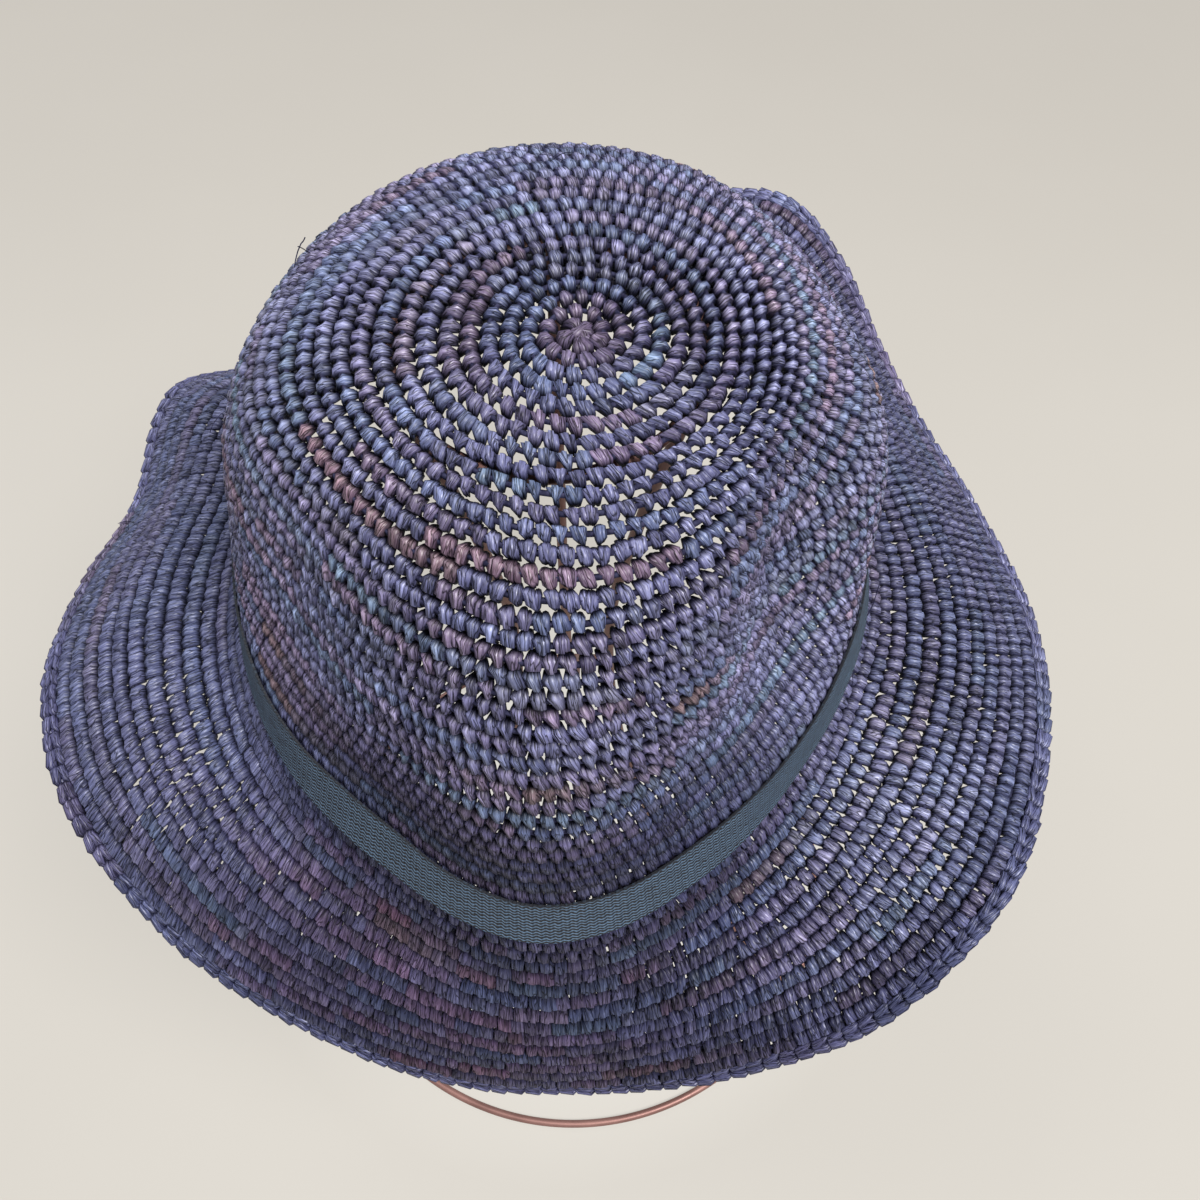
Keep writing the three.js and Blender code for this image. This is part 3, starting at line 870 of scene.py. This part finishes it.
def stitches(name, rows, angles, colours, material, node):
    """Stitches of these rows as one piece, bent onto the hat, each leaning along its row."""
    gap = openness(rows, angles)
    row_height = SKIN.read(SKIN.row_height, rows, angles)
    arc = SKIN.read(SKIN.arc, rows, angles)

    # Where on the hat each stitch lies; the ribbon presses some of them flat
    front, right, left, back = (window(angles, *side, SIDES_SOFT) for side in SIDES)
    around_back = np.maximum.reduce([left, right, back]) * (1 - front)
    pressed = band(rows, 35.0, 35.6, 37.9, 38.4)
    on_brim = step_between(rows, 37.8, 39.2)
    on_crown = 1 - on_brim
    on_wall = step_between(rows, 25, 30) * on_crown
    loose = step_between(rows, 1, 5) * (1 - np.maximum(on_wall, on_brim)) * (0.3 + 0.7 * front)
    frill = on_brim * window(angles, 256, 44, 36)
    corner = on_brim * window(angles, 314, 30, 30) * step_between(rows, 40, 43)

    # Shape of the stitches there, and the painted shade and highlights on them
    longer = 0.02 * loose + 0.07 * frill - 0.04 * (gap < PACKED) - 0.09 * gap
    slimmer = on_crown * (1 - 0.5 * loose) * np.maximum(around_back, 0.5 * on_wall)
    right_lean = right * (1 - front)
    # Painted shade: on the crown each stitch darkens towards its outer end, most on the right and
    # the back; on the front frill a painted highlight lightens the outer ends; the painted lines
    # between bundles are softer on the frill and the left brim and darker round the back and at the
    # brim's right corner
    darker_end = 0.35 + 0.45 * np.maximum(right, 0.5 * back) * (1 - front)
    soft_seam = np.maximum(0.6 * frill, 0.5 * on_brim * left)
    dark_seam = np.maximum(0.9 * around_back * (1 - left), 0.6 * corner)
    deep_groove = (0.4 - 0.25 * on_brim) * (1 - 0.4 * loose) * around_back
    across, down, high, shade, fibres = fan(
        row_height * (0.56 + longer),
        STITCH_PITCH * 0.5 * (1 - 0.16 * slimmer),
        STITCH_THICK * (1 - 0.3 * pressed),
        pinch=0.05 + 0.95 * gap,
        lean=0.12 + 0.22 * loose + on_brim * (0.22 * left - 0.08 * front - 0.12 * right_lean),
        dome=0.2 + 0.25 * loose,
        parting=0.12 + 0.5 * loose + 0.25 * frill + 0.35 * corner,
        lap=0.45 * frill + 0.05 * on_wall,
        painted_end_shade=darker_end * on_crown - 0.95 * frill,
        seam=1 - soft_seam + dark_seam,
        groove=deep_groove + 0.16 * on_wall * front,
    )
    high = high * (1 - 0.25 * column(pressed))
    row = column(rows) + down / column(row_height)
    angle = column(angles) + across / np.maximum(column(arc), 0.04)
    bundles(name, SKIN.place(row, angle, high), shade, fibres, colours, material, node)


def tip_knot(colours, material):
    """A few strands crossing over the tip, where the first stitches are drawn together."""
    count = len(colours)
    across, down, high, shade, fibres = fan(
        np.full(count, 3.0), 1.8, 1.3,
        pinch=0.3, lean=0.2, dome=0.4, parting=0.5, lap=0, painted_end_shade=0,
    )
    turn = column(np.arange(count) * 70.0 + 20) * math.pi / 180
    tip = SKIN.points[0, 0] + (0.6, 0.5, 0)
    x = tip[0] + across * np.cos(turn) - down * np.sin(turn)
    y = tip[1] + across * np.sin(turn) + down * np.cos(turn)
    place = np.stack([x, y, tip[2] + high - 0.7], -1)
    bundles("crown_tip_knot", place, shade, fibres, colours, material, "crown")


def edge_braid(material):
    """Last round: long leaves lying along the edge, each tucked under the next."""
    travelled, places = 0.0, []
    while travelled < 359.2:
        places.append(travelled)
        travelled += LEAF_LENGTH / SKIN.arc_at(EDGE_ROW, SEAM_ANGLE + travelled)
    places = np.array(places)
    rows = EDGE_ROW + edge_rise(places)
    angles = (SEAM_ANGLE + places) % 360.0
    usual = np.array(STRANDS[0][1:]) * (0.54, 0.54, 0.58)
    colours = strand_colours(rng, len(angles)) * 0.6 + usual
    # Painted shade: the front of the round is darker, and bluer where darker
    colours = colours * (1 - 0.5 * window(angles, 262, 76, 60))[:, None] ** (1, 1, 0.85)
    inside = np.minimum(rows, LAST_ROW)
    row_height = column(SKIN.read(SKIN.row_height, inside, angles))
    arc = column(SKIN.read(SKIN.arc, inside, angles))
    for name, outward, lift, half_length, half_width, half_thick, pinch, slant in LEAVES:
        sideways, lengthwise, up, shade, fibres = fan(
            np.full(len(angles), LEAF_LENGTH * half_length), half_width, half_thick,
            pinch=pinch, lean=slant, dome=0.25, parting=0.25, lap=0.1, painted_end_shade=0.3,
        )
        row = column(rows) + (outward + sideways) / row_height
        angle = column(angles) + lengthwise / arc
        place = SKIN.place(row, angle, up + lift)
        bundles(name, place, shade, fibres, colours, material, "edge_round")


def core(material):
    """The strand that the rows are worked over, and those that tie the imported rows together."""
    travelled = np.arange(CORE_FROM, 360.0 * ROUNDS, 5.0)
    row, angle = row_at(travelled), SEAM_ANGLE + travelled
    inside = worked(row, travelled)
    packed = openness(row, angle) < PACKED
    under = SKIN.place(row, angle, np.full(len(row), CORE_DEPTH))
    between = SKIN.place(row + 0.5 * ROW_FIT, angle, np.full(len(row), TIE_DEPTH))
    for name, low, high in (("crown", 0, BRIM_ROW), ("brim", BRIM_ROW, LAST_ROW)):
        part = np.flatnonzero(inside & (row >= low) & (row < high))
        cuts = np.flatnonzero(np.diff(packed[part])) + 1
        runs = [run for run in np.split(part, cuts) if packed[run[0]] and len(run) > 2]
        ties = [tube(f"{name}_ties", between[run], TIE_RADIUS, material) for run in runs]
        select_only(ties)
        bpy.ops.object.join()
        for obj in (ties[0], tube(f"{name}_core", under[part], CORE_RADIUS, material)):
            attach(obj, "root")
            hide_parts(name)


def stray_ends(material):
    """Loose fibre ends that stand out of the straw, mostly at the back and the sides."""
    part = np.linspace(0, 1, 9)
    for index, (row, angle, length, turned) in enumerate(STRAY_ENDS):
        rows = row - 0.5 * part * length / ROW_HEIGHT
        angles = angle + turned * part * length / SKIN.arc_at(row, angle)
        waver = rng.uniform(-0.15, 0.15, len(part)) * part
        lift = 0.8 + length * (0.75 * part - 0.25 * part * part) + waver
        node = "crown" if row < BRIM_ROW else "brim"
        radius = rng.uniform(STRAY_FINE, STRAY_COARSE)
        obj = tube(f"stray_end_{index + 1}", SKIN.place(rows, angles, lift), radius, material)
        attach(obj, "root")
        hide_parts(node)


def crochet():
    """The whole hat of straw, from the tip to the edge."""
    straw = raffia()
    rows, angles = spiral()
    colours = dye_and_painted_light(strand_colours(rng, len(rows)), rows, angles)
    for name, low, high, node in STITCHED:
        part = (rows >= low) & (rows < high)
        stitches(name, rows[part], angles[part], colours[part], straw, node)
    tip_knot(colours[:3], straw)
    edge_braid(straw)
    inner = shaded_inner_straw()
    core(inner)
    stray_ends(inner)


# Ribbon

def ribbon():
    """A strip of ribbon laid round the crown, one end over the other."""
    columns, lines = 420, 6
    bare()
    bpy.ops.mesh.primitive_grid_add(x_subdivisions=columns, y_subdivisions=lines, size=2)
    obj = bpy.context.object
    obj.name = "ribbon_band"
    grid = np.array([vertex.co[:] for vertex in obj.data.vertices])
    part, over = (grid[:, 0] + 1) / 2, (grid[:, 1] + 1) / 2
    travelled = part * (360.0 + RIBBON_LAP)
    angle = RIBBON_START + travelled

    # The second end climbs over the first, and the lower edge stands off at the right
    climb = step_between(travelled, 360.0 - 14.0, 360.0 + 2.0)
    ripple = 0.1 * np.sin(np.radians(angle * 9)) * over + 0.06 * np.sin(np.radians(angle * 23 + 40))
    flare = 2.2 * (1 - over) * window(angle, 345, 22, 30)
    lift = 1.7 - 0.25 * over + 0.95 * climb + ripple + flare
    row = RIBBON_FOOT - (RIBBON_FOOT - RIBBON_TOP + 0.2 * window(angle, 195, 40, 40)) * over
    row = row + 0.05 * np.sin(np.radians(angle * 5))
    place = SKIN.place(row, angle, lift)
    obj.data.vertices.foreach_set("co", (place * MM).astype(np.float32).ravel())
    obj.data.update()

    # Its weave is mapped in millimetres of ribbon
    middle = np.full(len(part), (RIBBON_TOP + RIBBON_FOOT) / 2)
    arc = SKIN.read(SKIN.arc, middle, angle).mean()
    weave = obj.data.uv_layers.active or obj.data.uv_layers.new()
    weave.name = "weave"
    flat = np.stack([travelled * arc, over * RIBBON_WIDTH], -1)
    loops = np.array([loop.vertex_index for loop in obj.data.loops])
    weave.data.foreach_set("uv", flat[loops].astype(np.float32).ravel())

    solid = obj.modifiers.new("cloth", "SOLIDIFY")
    solid.thickness = RIBBON_THICK * MM
    solid.offset = 0
    select_only([obj])
    bpy.ops.object.modifier_apply(modifier="cloth")
    bpy.ops.object.shade_smooth_by_angle(angle=math.radians(40))
    obj.data.materials.append(grosgrain())
    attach(obj, "root")
    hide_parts("ribbon", "ribbon_join")


# Stand

def around_stand(radius, height, turn):
    """Points round the stand's own axis."""
    x = STAND_X + AXIS_X + radius * np.cos(turn)
    y = STAND_Y + AXIS_Y + radius * np.sin(turn)
    return np.column_stack([x, y, height])


def circle(radius, height, count):
    """Points of a level ring."""
    turn = np.arange(count) * 2 * math.pi / count
    return around_stand(radius, np.full(count, height), turn)


def leg(angle, foot, head):
    """Points of a leg from the foot ring to the head ring."""
    reach, share = np.array(LEG_PATH, float).T
    climb = foot + (head - foot) * share
    steps = np.hypot(np.diff(reach), np.diff(climb)) ** 0.5
    way = np.concatenate([[0], np.cumsum(steps)])
    fine = np.linspace(0, way[-1], 70)
    radius, height = (along(way, values[:, None], fine)[:, 0] for values in (reach, climb))
    return around_stand(radius, height, math.radians(angle))


def stand():
    """Foot ring, head ring and legs of bent wire."""
    metal = copper()
    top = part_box("wire_stand")[1][2] / MM
    foot, head = WIRE_RADIUS, top - WIRE_RADIUS
    paths = [
        ("stand_foot_ring", circle(FOOT_RING, foot, 220), True),
        ("stand_head_ring", circle(HEAD_RING, head, 96), True),
    ]
    for index, angle in enumerate(LEG_ANGLES):
        paths.append((f"stand_leg_{index + 1}", leg(angle, foot, head), False))
    for name, path, closed in paths:
        part = tube(name, path, WIRE_RADIUS, metal, closed, roundness=5)
        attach(part, "root")
        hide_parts("wire_stand")


# Room

def studio():
    """Floor, sky light, lamps and camera."""
    bare()
    bpy.ops.mesh.primitive_plane_add(size=8, location=(0, 0, 0))
    floor = bpy.context.object
    floor.name = "floor"
    floor.data.materials.append(floor_paint())

    world = bpy.data.worlds.new("studio")
    world.use_nodes = True
    sky = world.node_tree.nodes["Background"].inputs
    sky[0].default_value = SKY
    sky[1].default_value = SKY_STRENGTH
    bpy.context.scene.world = world

    for name, place, size, watts, colour in LAMPS:
        light = bpy.data.lights.new(name, "AREA")
        light.size = size
        light.energy = watts
        light.color = colour
        lamp = bpy.data.objects.new(name, light)
        lamp.location = place
        aim = Vector(LAMP_AIM) - Vector(place)
        lamp.rotation_euler = aim.to_track_quat("-Z", "Y").to_euler()
        bpy.context.scene.collection.objects.link(lamp)

    camera = bpy.data.cameras.new("camera")
    camera.sensor_width = SENSOR
    camera.lens = LENS
    camera.clip_start = 0.01
    eye = bpy.data.objects.new("camera", camera)
    x, y, z = EYE
    eye.location = ((x + AXIS_X) * MM, (y + AXIS_Y) * MM, z * MM)
    eye.rotation_euler = (math.radians(90 - EYE_BELOW_LEVEL), 0, 0)
    bpy.context.scene.collection.objects.link(eye)
    bpy.context.scene.camera = eye
    bpy.context.scene.view_settings.view_transform = "Standard"


studio()
crochet()
ribbon()
stand()
